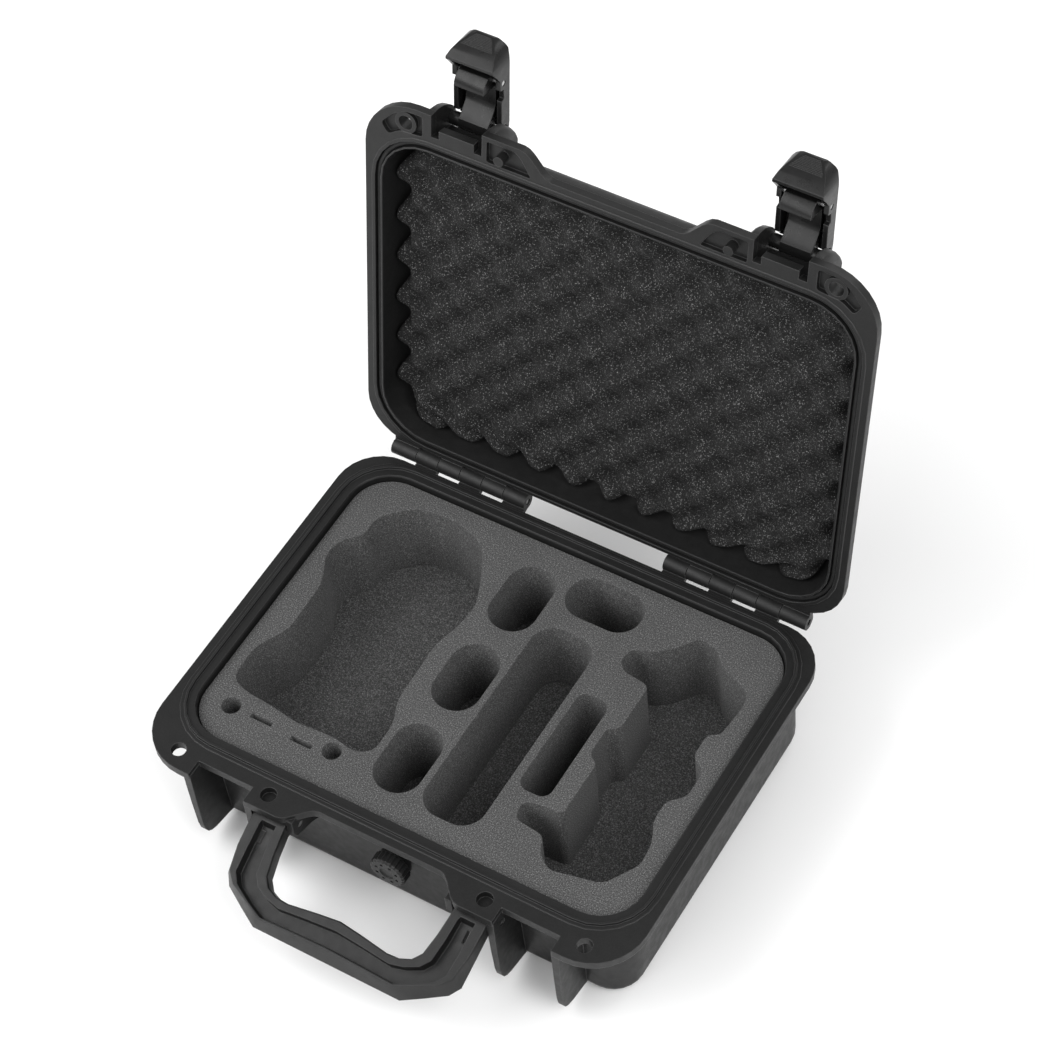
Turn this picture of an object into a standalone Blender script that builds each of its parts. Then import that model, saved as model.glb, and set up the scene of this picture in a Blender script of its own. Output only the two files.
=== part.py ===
"""Hard carrying case for a small folding drone and its accessories.

All sizes are in millimetres in the case frame until an object is made. The case frame has its
origin at the middle of the base's mouth on the sealing plane: +X to the right, +Y towards the
hinge, +Z up. Lid and latch pieces are drawn closed and then turned to the open rest pose.
"""

import math

import bmesh
import bpy
from mathutils import Matrix, Vector

MM = 0.001

# Base mouth (inner lip) and walls
LIP_X, LIP_Y, LIP_R = 132.0, 95.0, 24.0
BASE_DEPTH = 70.0
BASE_EDGE_R, BASE_CORNER_R, BASE_CORNER_TOP_R = 7.0, 17.0, 25.0
FLOOR_Z = -66.0
TONGUE_IN, TONGUE_OUT, TONGUE_TOP = 4.7, 6.5, 1.4
RIM_OUT = 8.6

# Flange round both halves
FLANGE_TOP, FLANGE_BOTTOM = -0.5, -5.5
FLANGE_X, FLANGE_BACK_Y, FLANGE_FRONT_Y = 145.0, 105.0, -121.0
FLANGE_MID_Y = -108.0
FRONT_CORNER_R, BACK_CORNER_R = 30.0, 26.0
HANDLE_BAY, HANDLE_BAY_END = 36.0, 54.0

# Lid
LID_RIM_Z, LID_TOP_Z = 0.5, 28.5
LID_INNER, LID_WALL = 2.6, 6.4
LID_EDGE_R, LID_INSIDE_R = 15.0, 12.0
GROOVE_IN, GROOVE_OUT, GROOVE_Z = 3.9, 7.3, 4.0
LID_OPEN_DEG = 100.4

# Hinge
HINGE_Y, HINGE_Z = 111.0, 1.26
KNUCKLE_R, HINGE_PIN_R, HINGE_BORE_R = 4.6, 1.7, 2.0
KNUCKLE_START, KNUCKLE_PITCH, KNUCKLES, KNUCKLE_GAP = 42.6, 13.9, 6, 0.4

# Latches, one each side of the handle
LATCH_X = 91.0
BASE_SLOT = [(-16.9, -111.6), (16.9, -111.6)]
LID_SLOT = [(-14.8, -108.0), (-10.2, -108.0), (-10.2, -113.0),
            (10.2, -113.0), (10.2, -108.0), (14.8, -108.0)]
FIN_IN, FIN_T, FIN_LEAN = 16.5, 4.4, 0.024
EAR_IN, EAR_OUT = 15.0, 21.4
EAR_ROOT_Y, EAR_BORE_OUT = -99.0, 18.8
LATCH_PIVOT_Y, LATCH_PIVOT_Z = -109.0, 20.0
LATCH_PIN_R, LATCH_BORE_R, BARREL_R, BARREL_HALF = 1.6, 1.9, 3.7, 14.4
LEVER_PIVOT_Y, LEVER_PIVOT_Z = -112.4, -10.0
LEVER_PIN_R, LEVER_BORE_R = 1.3, 1.6
JAW_HUB_R, JAW_HALF, LEVER_HALF, LEVER_INSIDE_HALF = 4.2, 8.5, 14.0, 11.4
LEVER_LOW_Z, LEVER_TIP_R, LEVER_SOFT_EDGE = -31.3, 12.0, 3.2
LATCH_OPEN_DEG = 88.0

# Handle
HANDLE_PIVOT_Y, HANDLE_PIVOT_Z = -113.0, -12.0
HANDLE_PIN_R, HANDLE_BORE_R = 1.7, 2.0
HANDLE_THICK = 10.0
HANDLE_DROP_DEG = 20.0
LUG_IN, LUG_OUT = 45.6, 49.5

# Pressure valve in the front wall
VALVE_X, VALVE_Z = 3.0, -26.0
VALVE_HOLE_R, KNOB_R = 6.6, 10.5
KNOB_FACE_Y, KNOB_BACK_Y = -110.5, -104.0

# Foam
FOAM_TOP, FOAM_SPLIT = -4.0, -54.0
CRATE_BACK, CRATE_PEAK, CRATE_VALLEY = 24.8, 9.5, 18.0
CRATE_COLUMNS, CRATE_ROWS = 20, 14
CRATE_TAPER_X, CRATE_TAPER_Y = 0.935, 0.911

# Padlock holes and locating pegs
PADLOCK_X, PADLOCK_Y, PADLOCK_R = 121.0, -110.5, 4.1
PEG_X, PEG_Y, PEG_HOLE_R, PEG_R = 64.5, -111.5, 4.4, 2.8

PLASTIC = ("plastic", (0.020, 0.020, 0.021, 1.0), 0.42, 0.0)
LATCH_PLASTIC = ("latch_plastic", (0.017, 0.017, 0.018, 1.0), 0.30, 0.0)
FOAM = ("foam", (0.060, 0.060, 0.062, 1.0), 0.95, 0.0)
CRATE_FOAM = ("crate_foam", (0.028, 0.028, 0.030, 1.0), 0.95, 0.0)
RUBBER = ("rubber", (0.015, 0.015, 0.015, 1.0), 0.75, 0.0)
STEEL = ("steel", (0.55, 0.55, 0.56, 1.0), 0.32, 1.0)


# ---------------------------------------------------------------- outlines

def arc(cx, cy, radius, start_deg, end_deg, steps):
    """Points on an arc, both ends included."""
    points = []
    for i in range(steps + 1):
        a = math.radians(start_deg + (end_deg - start_deg) * i / steps)
        points.append((cx + radius * math.cos(a), cy + radius * math.sin(a)))
    return points


def rounded_rect(half_x, half_y, radius, steps=6):
    """Anticlockwise rounded rectangle centred on the origin."""
    cx, cy = half_x - radius, half_y - radius
    return (arc(cx, -cy, radius, -90, 0, steps) + arc(cx, cy, radius, 0, 90, steps)
            + arc(-cx, cy, radius, 90, 180, steps) + arc(-cx, -cy, radius, 180, 270, steps))


def mouth_ring(offset, z, corner=None):
    """The mouth's outline moved out by offset, at height z, with its own corner radius if given."""
    flat = rounded_rect(LIP_X + offset, LIP_Y + offset, corner or LIP_R + offset)
    return [(x, y, z) for x, y in flat]


def softened(outline, radius, steps=3):
    """The outline with every corner rounded by a quadratic curve."""
    result = []
    count = len(outline)
    for i in range(count):
        here = Vector(outline[i])
        back, ahead = Vector(outline[i - 1]) - here, Vector(outline[(i + 1) % count]) - here
        reach = min(radius, back.length * 0.45, ahead.length * 0.45)
        a, b = here + back.normalized() * reach, here + ahead.normalized() * reach
        for k in range(steps + 1):
            t = k / steps
            point = a * (1 - t) ** 2 + here * 2 * t * (1 - t) + b * t * t
            result.append((point.x, point.y))
    return result


def mirrored(half):
    """A closed outline from its right half, listed from the front middle to the back middle."""
    return half + [(-x, y) for x, y in reversed(half)]


def flange_outline(slot):
    """The flange's outer edge: a bay for the handle, a slot for each latch, round corners.

    The slot's back edge is given as (distance from the latch's middle, y).
    """
    half = []
    for i in range(7):
        t = i / 6
        x = HANDLE_BAY + (HANDLE_BAY_END - HANDLE_BAY) * t
        y = FLANGE_MID_Y + (FLANGE_FRONT_Y - FLANGE_MID_Y) * (1 - math.cos(math.pi * t)) / 2
        half.append((x, y))
    half.append((LATCH_X + slot[0][0], FLANGE_FRONT_Y))
    half += [(LATCH_X + across, y) for across, y in slot]
    half.append((LATCH_X + slot[-1][0], FLANGE_FRONT_Y))
    half += arc(FLANGE_X - FRONT_CORNER_R, FLANGE_FRONT_Y + FRONT_CORNER_R, FRONT_CORNER_R,
                -90, 0, 8)
    half += arc(FLANGE_X - BACK_CORNER_R, FLANGE_BACK_Y - BACK_CORNER_R, BACK_CORNER_R,
                0, 90, 7)
    return mirrored(half)


# ---------------------------------------------------------------- meshes

def new_object(name, vertices, faces):
    """An object from millimetre vertices, with its faces turned outwards."""
    mesh = bpy.data.meshes.new(name)
    mesh.from_pydata([Vector(v) * MM for v in vertices], [], faces)
    work = bmesh.new()
    work.from_mesh(mesh)
    bmesh.ops.recalc_face_normals(work, faces=work.faces)
    if work.calc_volume(signed=True) < 0:
        bmesh.ops.reverse_faces(work, faces=work.faces)
    work.to_mesh(mesh)
    work.free()
    obj = bpy.data.objects.new(name, mesh)
    bpy.context.scene.collection.objects.link(obj)
    return obj


def loft(name, rings, closed=False):
    """A solid through equal-length rings; closed joins the last ring to the first."""
    count = len(rings[0])
    vertices = [point for ring in rings for point in ring]
    faces = []
    for i in range(len(rings) if closed else len(rings) - 1):
        a, b = i * count, (i + 1) % len(rings) * count
        for k in range(count):
            n = (k + 1) % count
            faces.append((a + k, a + n, b + n, b + k))
    if not closed:
        faces.append(tuple(reversed(range(count))))
        faces.append(tuple(range(len(vertices) - count, len(vertices))))
    return new_object(name, vertices, faces)


def prism_z(name, outline, z0, z1):
    return loft(name, [[(x, y, z0) for x, y in outline], [(x, y, z1) for x, y in outline]])


def prism_x(name, outline, x0, x1):
    """A plate across X; its outline is (y, z)."""
    return loft(name, [[(x0, y, z) for y, z in outline], [(x1, y, z) for y, z in outline]])


def rod_x(name, x0, x1, y, z, radius, steps=20):
    return prism_x(name, arc(y, z, radius, 0, 360 - 360 / steps, steps - 1), x0, x1)


def rod_y(name, y0, y1, x, z, radius, steps=24):
    outline = arc(x, z, radius, 0, 360 - 360 / steps, steps - 1)
    return loft(name, [[(px, y0, pz) for px, pz in outline], [(px, y1, pz) for px, pz in outline]])


def rod_z(name, z0, z1, x, y, radius, steps=20):
    return prism_z(name, arc(x, y, radius, 0, 360 - 360 / steps, steps - 1), z0, z1)


def box(name, x0, x1, y0, y1, z0, z1):
    return prism_z(name, [(x0, y0), (x1, y0), (x1, y1), (x0, y1)], z0, z1)


def combine(target, tool, operation):
    """Applies one exact Boolean to target and removes the tool."""
    modifier = target.modifiers.new("step", "BOOLEAN")
    modifier.solver = "EXACT"
    modifier.operation = operation
    modifier.object = tool
    graph = bpy.context.evaluated_depsgraph_get()
    result = bpy.data.meshes.new_from_object(target.evaluated_get(graph))
    target.modifiers.clear()
    target.data = result
    bpy.data.objects.remove(tool)


def join(target, *tools):
    for tool in tools:
        combine(target, tool, "UNION")


def cut(target, *tools):
    for tool in tools:
        combine(target, tool, "DIFFERENCE")


def span(side, inner, outer):
    """The x range from inner to outer on the given side, low end first."""
    return (inner, outer) if side > 0 else (-outer, -inner)


def finish(obj, material, smooth=True):
    """Gives the object its material and shades its round faces smooth."""
    name, colour, roughness, metallic = material
    found = bpy.data.materials.get(obj.name + "_" + name)
    made = found or bpy.data.materials.new(obj.name + "_" + name)
    made.use_nodes = True
    shader = made.node_tree.nodes["Principled BSDF"]
    shader.inputs["Base Color"].default_value = colour
    shader.inputs["Roughness"].default_value = roughness
    shader.inputs["Metallic"].default_value = metallic
    obj.data.materials.clear()
    obj.data.materials.append(made)
    if smooth:
        bpy.ops.object.select_all(action="DESELECT")
        obj.select_set(True)
        bpy.context.view_layer.objects.active = obj
        bpy.ops.object.shade_smooth_by_angle(angle=math.radians(32))
    return obj


# ---------------------------------------------------------------- base

def base_cup():
    """The open box: outer wall, sealing rim with its tongue, inner wall and floor."""
    bottom_offset, wall_offset = 2.0, 4.0
    rings = []
    for i in range(5):
        a = math.radians(90 * i / 4)
        inset = BASE_EDGE_R * (1 - math.sin(a))
        rings.append(mouth_ring(bottom_offset - inset, BASE_EDGE_R * (1 - math.cos(a)) - BASE_DEPTH,
                                BASE_CORNER_R - inset))
    rings += [mouth_ring(wall_offset, -8.0, BASE_CORNER_TOP_R), mouth_ring(RIM_OUT, -4.6),
              mouth_ring(RIM_OUT, 0.0)]
    rings += [mouth_ring(TONGUE_OUT, 0.0), mouth_ring(TONGUE_OUT - 0.3, TONGUE_TOP),
              mouth_ring(TONGUE_IN + 0.3, TONGUE_TOP), mouth_ring(TONGUE_IN, 0.0)]
    rings += [mouth_ring(0.6, 0.0), mouth_ring(0.0, -0.8), mouth_ring(-1.9, -60.0),
              mouth_ring(-3.2, -64.2), mouth_ring(-6.0, FLOOR_Z)]
    return loft("base_shell", rings)


def flange_plate(slot, z0, z1):
    """The flange as a ring that overlaps the rim of its shell."""
    plate = prism_z("flange", flange_outline(slot), z0, z1)
    hole = [(x, y) for x, y, _ in mouth_ring(7.6, 0.0)]
    cut(plate, prism_z("flange_hole", hole, z0 - 5, z1 + 5))
    return plate


def latch_fin(face_x, outward):
    """A guard beside a latch, hanging from the flange and rooted in the front wall.

    Its flat face is at face_x, and its other face leans in towards the bottom.
    """
    top = -3.0
    outline = [(-97.5, top), (-120.7, top), (-120.7, -30.0), (-120.3, -49.0),
               (-119.5, -55.0), (-117.8, -59.0), (-115.0, -61.6), (-111.2, -63.2),
               (-105.6, -64.4), (-99.8, -65.6), (-93.5, -67.5)]
    far = [(face_x + outward * (FIN_T - FIN_LEAN * (top - z)), y, z) for y, z in outline]
    return loft("fin", [[(face_x, y, z) for y, z in outline], far])


def handle_lug(x0, x1):
    """The inner support of a handle pivot, under the flange."""
    outline = [(-97.3, -3.0), (-119.4, -3.0), (-119.4, -13.0), (-117.5, -17.2),
               (-112.0, -19.4), (-104.0, -22.0), (-96.6, -27.0)]
    return prism_x("lug", outline, x0, x1)


def knuckle_range(side, index):
    start = KNUCKLE_START + KNUCKLE_PITCH * index
    return span(side, start + KNUCKLE_GAP / 2, start + KNUCKLE_PITCH - KNUCKLE_GAP / 2)


def knuckle(x0, x1, web):
    """One hinge knuckle with the web that carries it."""
    body = rod_x("knuckle", x0, x1, HINGE_Y, HINGE_Z, KNUCKLE_R)
    join(body, prism_x("web", web, x0, x1))
    return body


def base_shell():
    shell = base_cup()
    join(shell, flange_plate(BASE_SLOT, FLANGE_BOTTOM, FLANGE_TOP))
    for side in (1, -1):
        join(shell, latch_fin(side * LATCH_X - FIN_IN, -1), latch_fin(side * LATCH_X + FIN_IN, 1),
             handle_lug(*span(side, LUG_IN, LUG_OUT)))
        web = [(103.5, -5.0), (110.4, -3.0), (108.9, -0.9), (103.5, -0.9)]
        for index in range(0, KNUCKLES, 2):
            join(shell, knuckle(*knuckle_range(side, index), web))
        cut(shell, rod_x("bore", *span(side, 30, 140), HINGE_Y, HINGE_Z, HINGE_BORE_R, 16),
            rod_z("padlock", -12, 4, side * PADLOCK_X, PADLOCK_Y, PADLOCK_R),
            rod_z("peg_hole", -5.0, 4, side * PEG_X, PEG_Y, PEG_HOLE_R),
            rod_x("handle_bore", *span(side, LUG_IN - 2, 77), HANDLE_PIVOT_Y, HANDLE_PIVOT_Z,
                  HANDLE_BORE_R, 16))
    cut(shell, rod_y("valve_hole", -110, -88, VALVE_X, VALVE_Z, VALVE_HOLE_R))
    return finish(shell, PLASTIC)


# ---------------------------------------------------------------- lid

def lid_dome():
    """The lid's shell: sealing rim with a gasket groove, wall and rounded top."""
    rings = [mouth_ring(LID_WALL - 0.6 - LID_EDGE_R, LID_TOP_Z)]
    for i in range(1, 6):
        a = math.radians(90 * i / 5)
        rings.append(mouth_ring(LID_WALL - 0.6 - LID_EDGE_R * (1 - math.sin(a)),
                                LID_TOP_Z - LID_EDGE_R * (1 - math.cos(a))))
    rings += [mouth_ring(LID_WALL, 7.5), mouth_ring(9.2, 5.2), mouth_ring(9.2, LID_RIM_Z)]
    rings += [mouth_ring(GROOVE_OUT, LID_RIM_Z), mouth_ring(GROOVE_OUT, GROOVE_Z),
              mouth_ring(GROOVE_IN, GROOVE_Z), mouth_ring(GROOVE_IN, LID_RIM_Z)]
    rings += [mouth_ring(LID_INNER + 0.4, LID_RIM_Z), mouth_ring(LID_INNER, LID_RIM_Z + 0.6)]
    inside_top = LID_TOP_Z - 3.2
    for i in range(6):
        a = math.radians(90 * i / 5)
        rings.append(mouth_ring(LID_INNER - 0.4 - LID_INSIDE_R * (1 - math.cos(a)),
                                inside_top - LID_INSIDE_R * (1 - math.sin(a))))
    return loft("lid_shell", rings)


def latch_ear(middle_x, outward):
    """One of the two ears that hold a latch's pin, with a rounded outer face."""
    outline = [(-98.9, 6.0), (-103.4, 4.7), (-103.4, 2.5), (-120.8, 2.5), (-120.9, 8.0),
               (-119.9, 13.2), (-117.7, 17.9), (-114.9, 21.7), (-111.9, 24.2), (-108.6, 25.3),
               (-105.0, 25.0), (-100.0, 23.2), (-95.2, 22.4), (-98.9, 13.5)]
    rings = []
    for across, reach in ((EAR_IN, 1.0), (EAR_OUT - 2.6, 0.97), (EAR_OUT - 1.0, 0.89),
                          (EAR_OUT, 0.75)):
        x = middle_x + outward * across
        rings.append([(x, EAR_ROOT_Y + (y - EAR_ROOT_Y) * (reach if y < EAR_ROOT_Y else 1.0), z)
                      for y, z in outline])
    return loft("ear", rings)


def lid_pocket(side):
    """Hollow in the lid's flange round a padlock hole; its outline is (x, y)."""
    outline = [(110.8, -118.2), (121.0, -117.6), (128.5, -113.5), (135.5, -105.5),
               (131.5, -99.8), (124.5, -104.6), (110.8, -105.8)]
    return softened([(side * x, y) for x, y in outline][::side], 2.0)


def peg_pocket(side):
    outline = [(47.5, -105.8), (50.5, -110.8), (54.0, -116.0), (57.5, -118.4),
               (73.4, -118.4), (73.4, -105.8)]
    return softened([(side * x, y) for x, y in outline][::side], 1.5)


def lid_shell():
    shell = lid_dome()
    join(shell, flange_plate(LID_SLOT, LID_RIM_Z + 0.4, 5.6))
    for side in (1, -1):
        join(shell, latch_ear(side * LATCH_X, 1), latch_ear(side * LATCH_X, -1))
        bridge = [(-98.9, 8.0), (-103.6, 8.0), (-103.6, 20.0), (-102.0, 22.5), (-97.0, 22.5)]
        join(shell, prism_x("bridge", bridge, *span(side, LATCH_X - EAR_IN - 1,
                                                    LATCH_X + EAR_IN + 1)))
        web = [(103.5, 5.2), (103.5, 1.4), (108.0, 1.4), (109.5, 5.2)]
        for index in range(1, KNUCKLES, 2):
            x0, x1 = knuckle_range(side, index)
            if index == KNUCKLES - 1:
                x0, x1 = (x0, x1 + 2.0) if side > 0 else (x0 - 2.0, x1)
            join(shell, knuckle(x0, x1, web))
        cut(shell, prism_z("pocket", lid_pocket(side), -2, 3.6),
            prism_z("peg_pocket", peg_pocket(side), -2, 3.6))
        join(shell, rod_z("padlock_boss", 1.2, 8.6, side * PADLOCK_X, PADLOCK_Y,
                          PADLOCK_R + 2.2),
             rod_z("peg", -2.6, 4.6, side * PEG_X, PEG_Y, PEG_R, 16))
        cut(shell, rod_z("padlock", -4, 12, side * PADLOCK_X, PADLOCK_Y, PADLOCK_R),
            rod_x("bore", *span(side, 30, 140), HINGE_Y, HINGE_Z, HINGE_BORE_R, 16),
            rod_x("ear_bore", *span(side, LATCH_X - EAR_BORE_OUT, LATCH_X + EAR_BORE_OUT),
                  LATCH_PIVOT_Y, LATCH_PIVOT_Z, LATCH_BORE_R, 16))
    return finish(shell, PLASTIC)


def seal_gasket():
    """Rubber cord in the lid's groove."""
    inner, outer, low, high = GROOVE_IN + 0.3, GROOVE_OUT - 0.3, 1.75, GROOVE_Z - 0.3
    rings = [mouth_ring(inner, low + 0.5), mouth_ring(inner + 0.6, low),
             mouth_ring(outer - 0.6, low), mouth_ring(outer, low + 0.5),
             mouth_ring(outer, high), mouth_ring(inner, high)]
    return finish(loft("seal_gasket", rings, closed=True), RUBBER)


def lid_foam():
    """Convoluted foam: a slab whose face is a staggered field of round bumps."""
    half_x, half_y = LIP_X + 0.7, LIP_Y + 0.7
    columns, rows = CRATE_COLUMNS * 2, CRATE_ROWS * 2
    corner = LIP_R + 1.0
    vertices, faces = [], []
    for j in range(rows + 1):
        for i in range(columns + 1):
            u, v = 2 * i / columns - 1, 2 * j / rows - 1
            y = v * half_y
            over = max(0.0, abs(y) - (half_y - corner))
            reach = half_x - corner + math.sqrt(max(0.0, corner ** 2 - over ** 2))
            wave = math.cos(math.pi * i / 2) * math.cos(math.pi * j / 2)
            height = CRATE_VALLEY + (CRATE_PEAK - CRATE_VALLEY) * (0.5 + 0.5 * wave)
            vertices.append((u * reach, y, height))
    width = columns + 1
    for j in range(rows):
        for i in range(columns):
            a = j * width + i
            faces.append((a, a + width, a + width + 1, a + 1))
    rim = list(range(width)) + [j * width + columns for j in range(1, rows + 1)]
    rim += [rows * width + i for i in range(columns - 1, -1, -1)]
    rim += [j * width for j in range(rows - 1, 0, -1)]
    first = len(vertices)
    for index in rim:
        x, y, _ = vertices[index]
        vertices.append((x * CRATE_TAPER_X, y * CRATE_TAPER_Y, CRATE_BACK))
    for k, a in enumerate(rim):
        n = (k + 1) % len(rim)
        faces.append((a, rim[n], first + n, first + k))
    faces.append(tuple(range(first, first + len(rim))))
    return finish(new_object("lid_foam", vertices, faces), CRATE_FOAM)


# ---------------------------------------------------------------- latches

def latch_jaw(name, side):
    """The hooked inner piece, C-shaped round both flanges; it turns on the lid's ears."""
    outline = arc(LATCH_PIVOT_Y, LATCH_PIVOT_Z, JAW_HUB_R, 20, 185, 9)
    outline += [(-114.7, 13.0), (-115.9, 7.0), (-115.9, -10.0), (-114.6, -13.2),
                (-111.5, -14.6), (-106.5, -14.2), (-103.4, -11.8), (-101.9, -9.0),
                (-101.9, -6.6), (-103.4, -6.1), (-112.6, -6.1), (-113.7, -5.2),
                (-113.7, 6.0), (-112.6, 9.2), (-108.4, 14.6), (-105.9, 16.6)]
    x0, x1 = span(side, LATCH_X - JAW_HALF, LATCH_X + JAW_HALF)
    jaw = prism_x(name, outline, x0, x1)
    b0, b1 = span(side, LATCH_X - BARREL_HALF, LATCH_X + BARREL_HALF)
    join(jaw, rod_x("barrel", b0, b1, LATCH_PIVOT_Y, LATCH_PIVOT_Z, BARREL_R))
    cut(jaw, rod_x("bore", b0 - 2, b1 + 2, LATCH_PIVOT_Y, LATCH_PIVOT_Z, LATCH_BORE_R, 16),
        rod_x("bore", x0 - 2, x1 + 2, LEVER_PIVOT_Y, LEVER_PIVOT_Z, LEVER_BORE_R, 16))
    return finish(jaw, LATCH_PLASTIC)


def latch_lever(name, side):
    """The outer pull lever: a channel over the jaw with a flared finger end."""
    outline = [(-119.6, 6.0), (-118.6, 14.0), (-117.8, 20.0), (-117.4, 21.2), (-116.5, 21.4),
               (-116.1, 20.0), (-116.1, 18.6), (-114.6, 16.8), (-111.2, 15.9),
               (-110.4, 15.2), (-110.4, 0.4), (-112.8, -0.2),
               (-112.2, -6.2), (-109.2, -7.0), (-109.2, -12.6), (-105.5, -17.5), (-102.7, -20.6),
               (-102.4, -22.6), (-106.5, -26.0), (-112.5, -29.2), (-117.6, -31.0),
               (-119.6, -30.4), (-120.4, -27.0), (-120.4, -6.0)]
    x0, x1 = span(side, LATCH_X - LEVER_HALF, LATCH_X + LEVER_HALF)
    lever = prism_x(name, outline, x0, x1)
    i0, i1 = span(side, LATCH_X - LEVER_INSIDE_HALF, LATCH_X + LEVER_INSIDE_HALF)
    channel = [(-118.0, -20.6), (-118.0, 9.0), (-116.3, 18.4), (-116.3, 25.0), (-100.0, 25.0),
               (-100.0, -20.6)]
    cut(lever, prism_x("channel", channel, i0, i1),
        rod_x("bore", x0 - 2, x1 + 2, LEVER_PIVOT_Y, LEVER_PIVOT_Z, LEVER_BORE_R, 16))
    tip_z = LEVER_LOW_Z + LEVER_TIP_R
    front = ([(x0 - 0.2, 24.0)] + arc(x0 + LEVER_TIP_R, tip_z, LEVER_TIP_R, 180, 270, 6)
             + arc(x1 - LEVER_TIP_R, tip_z, LEVER_TIP_R, 270, 360, 6) + [(x1 + 0.2, 24.0)])
    trim = loft("trim", [[(x, y, z) for x, z in front] for y in (-125.0, -95.0)])
    combine(lever, trim, "INTERSECT")
    soft = LEVER_SOFT_EDGE
    above = [(x0 - 1, -95.0), (x0 - 1, -120.4 + soft), (x0 + soft, -121.4),
             (x1 - soft, -121.4), (x1 + 1, -120.4 + soft), (x1 + 1, -95.0)]
    combine(lever, prism_z("trim", above, -40, 24), "INTERSECT")
    return finish(lever, LATCH_PLASTIC)


# ---------------------------------------------------------------- handle

def handle_stations():
    """Outer and inner edge of the handle in plan, from the right pivot to the middle.

    Each entry is outer (x, reach), inner (x, reach), half thickness and channel depth, where
    reach is the distance in front of the pivot.
    """
    full = HANDLE_THICK / 2
    return [((70.0, -5.0), (50.2, -5.0), 1.7, 0.0), ((70.0, -3.4), (50.2, -3.4), 3.8, 0.0),
            ((70.0, 0.0), (50.0, 0.0), full, 0.0), ((70.0, 7.0), (50.0, 7.0), full, 0.0),
            ((70.0, 9.0), (49.8, 9.0), full, 5.0), ((70.1, 24.0), (48.6, 20.0), full, 6.0),
            ((70.1, 38.0), (46.4, 31.5), full, 6.0), ((66.0, 44.0), (42.5, 36.4), full, 6.0),
            ((54.5, 51.0), (36.5, 38.8), full, 6.0), ((44.0, 57.0), (29.5, 39.2), full, 6.0),
            ((22.0, 57.0), (14.0, 37.0), full, 6.0), ((0.0, 57.0), (0.0, 35.4), full, 6.0)]


def handle_section(outer, inner, half, depth):
    """Cross-section with a channel on the upper face, from the outer to the inner edge."""
    flare = 0.0 if outer[1] < 20 else min(5.0, (outer[1] - 20) * 0.18)
    width = math.dist(outer, inner)
    flare /= width

    def at(t, z):
        x = outer[0] + (inner[0] - outer[0]) * t
        y = HANDLE_PIVOT_Y - (outer[1] + (inner[1] - outer[1]) * t)
        return (x, y, HANDLE_PIVOT_Z + z)

    return [at(0.03, -half), at(0.0, -half * 0.8), at(flare, half * 0.8),
            at(flare + 0.03, half), at(0.30, half), at(0.33, half - depth),
            at(0.72, half - depth), at(0.75, half), at(0.97, half), at(1.0, half * 0.8),
            at(1.0, -half * 0.8), at(0.97, -half)]


def handle():
    stations = handle_stations()
    rings = [handle_section(*s) for s in stations]
    rings += [[(-x, y, z) for x, y, z in ring] for ring in reversed(rings[:-1])]
    bar = loft("handle", rings)
    for side in (1, -1):
        cut(bar, rod_x("bore", *span(side, 45, 75), HANDLE_PIVOT_Y, HANDLE_PIVOT_Z,
                       HANDLE_BORE_R, 16),
            box("slot", *span(side, 60.4, 63.0), HANDLE_PIVOT_Y - 18, HANDLE_PIVOT_Y - 11,
                HANDLE_PIVOT_Z - 9, HANDLE_PIVOT_Z + 9))
    return finish(bar, PLASTIC)


# ---------------------------------------------------------------- valve

def ring_y(name, profile, steps=28):
    """A turned ring about the valve's axis; profile is (radius, y)."""
    rings = []
    for i in range(steps):
        a = 2 * math.pi * i / steps
        rings.append([(VALVE_X + r * math.cos(a), y, VALVE_Z + r * math.sin(a))
                      for r, y in profile])
    return loft(name, rings, closed=True)


def valve_body():
    """Bushing through the front wall, with a collar outside and a bore for the knob's stem."""
    profile = [(3.3, -103.4), (9.4, -103.4), (9.4, -101.2), (6.2, -101.2), (6.2, -87.0),
               (3.3, -87.0)]
    return finish(ring_y("valve_body", profile), PLASTIC)


def valve_o_ring():
    profile = [(7.5 + 0.9 * x, -100.0 + 0.9 * y) for x, y in arc(0, 0, 1, 0, 300, 5)]
    return finish(ring_y("valve_o_ring", profile), RUBBER)


def valve_nut():
    """Hexagon nut on the inner end of the bushing."""
    corner_r = 10.0
    nut = rod_y("valve_nut", -93.4, -89.4, VALVE_X, VALVE_Z, corner_r, 6)
    cut(nut, rod_y("nut_bore", -95, -85, VALVE_X, VALVE_Z, 6.5))
    return finish(nut, PLASTIC)


def valve_knob():
    """Vented cap that is turned by hand; its stem runs in the bushing."""
    teeth, outline = 24, []
    for i in range(teeth * 2):
        a = math.pi * i / teeth
        r = KNOB_R if i % 2 == 0 else KNOB_R - 0.7
        outline.append((VALVE_X + r * math.cos(a), VALVE_Z + r * math.sin(a)))

    def ring(y, shrink):
        return [(VALVE_X + (x - VALVE_X) * shrink, y, VALVE_Z + (z - VALVE_Z) * shrink)
                for x, z in outline]

    knob = loft("valve_knob", [ring(KNOB_BACK_Y, 1.0), ring(KNOB_FACE_Y + 1.0, 1.0),
                               ring(KNOB_FACE_Y, 0.90)])
    join(knob, rod_y("stem", -105, -96, VALVE_X, VALVE_Z, 3.0, 20))
    holes = 8
    for i in range(holes):
        a = 2 * math.pi * (i + 0.5) / holes
        cut(knob, rod_y("vent", -115, -107.5, VALVE_X + 6.4 * math.cos(a),
                        VALVE_Z + 6.4 * math.sin(a), 1.0, 10))
    cut(knob, rod_y("dish", -115, -109.9, VALVE_X, VALVE_Z, 4.2, 20))
    return finish(knob, PLASTIC)


# ---------------------------------------------------------------- foam

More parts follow.
